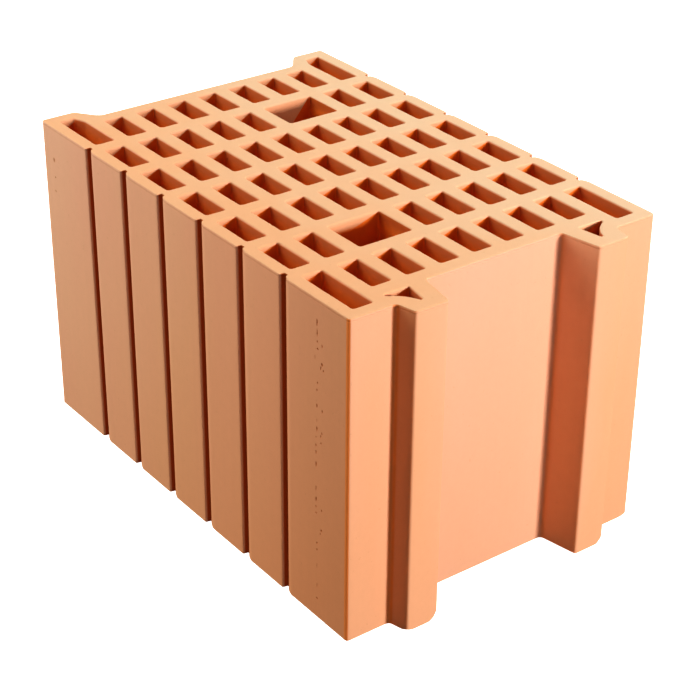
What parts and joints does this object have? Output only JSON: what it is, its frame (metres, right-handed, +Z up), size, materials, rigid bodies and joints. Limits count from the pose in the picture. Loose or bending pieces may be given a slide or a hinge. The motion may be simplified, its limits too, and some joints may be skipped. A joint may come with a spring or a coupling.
{
  "type": "hollow clay block",
  "caption": "Fired clay wall block with rows of through cells, grip holes, tongue and groove ends and grooved plaster faces.",
  "frame": {"origin": "centre of the bounding rectangle of the bed face, at the bottom of the block", "axes": "+Z up, along the cells; +X along the block towards the end with the two tongues; the grooved plaster faces look along -Y and +Y"},
  "size_m": [0.39, 0.25, 0.238],
  "materials": {
    "fired_clay": "matt fired clay, orange with paler and pinker patches, fine drag lines from the die and a wire-cut top"
  },
  "bodies": {
    "root": {"clay_block": "fired_clay"}
  },
  "joints": []
}
